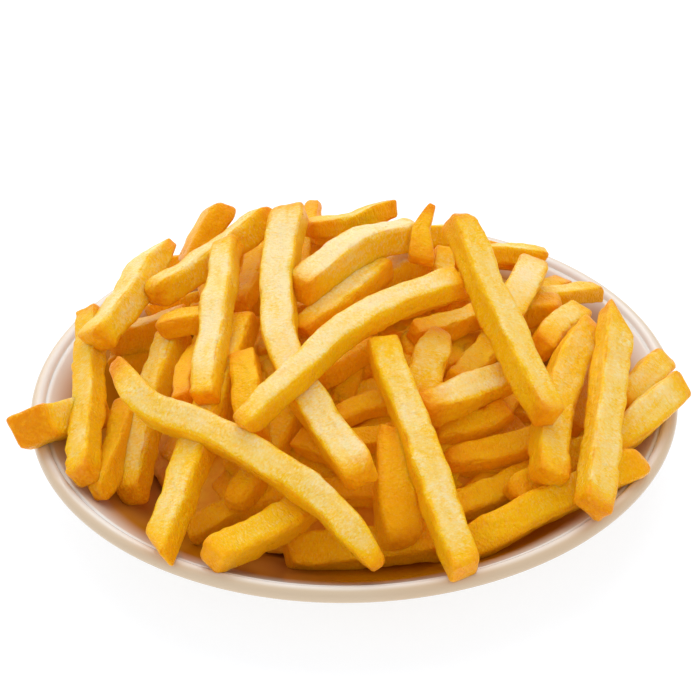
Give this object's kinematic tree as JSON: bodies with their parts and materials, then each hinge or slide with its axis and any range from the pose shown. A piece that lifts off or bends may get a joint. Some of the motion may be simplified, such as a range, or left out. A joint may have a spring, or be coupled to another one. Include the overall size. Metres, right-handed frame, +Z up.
{
  "type": "french fries portion",
  "caption": "A portion of straight-cut french fries heaped high on the round white coupe plate it is served on, with a flat foot ring to stand on.",
  "frame": {"origin": "on the table, under the middle of the plate's foot ring", "axes": "+Z up, +X to the right and +Y to the back as the portion is served"},
  "size_m": [0.1953, 0.19, 0.0733],
  "materials": {
    "glaze": "glossy white glaze",
    "fried_potato": "soft sheen of oil on a thin golden crust"
  },
  "bodies": {
    "root": {"plate": "glaze", "fries": "fried_potato"}
  },
  "joints": []
}
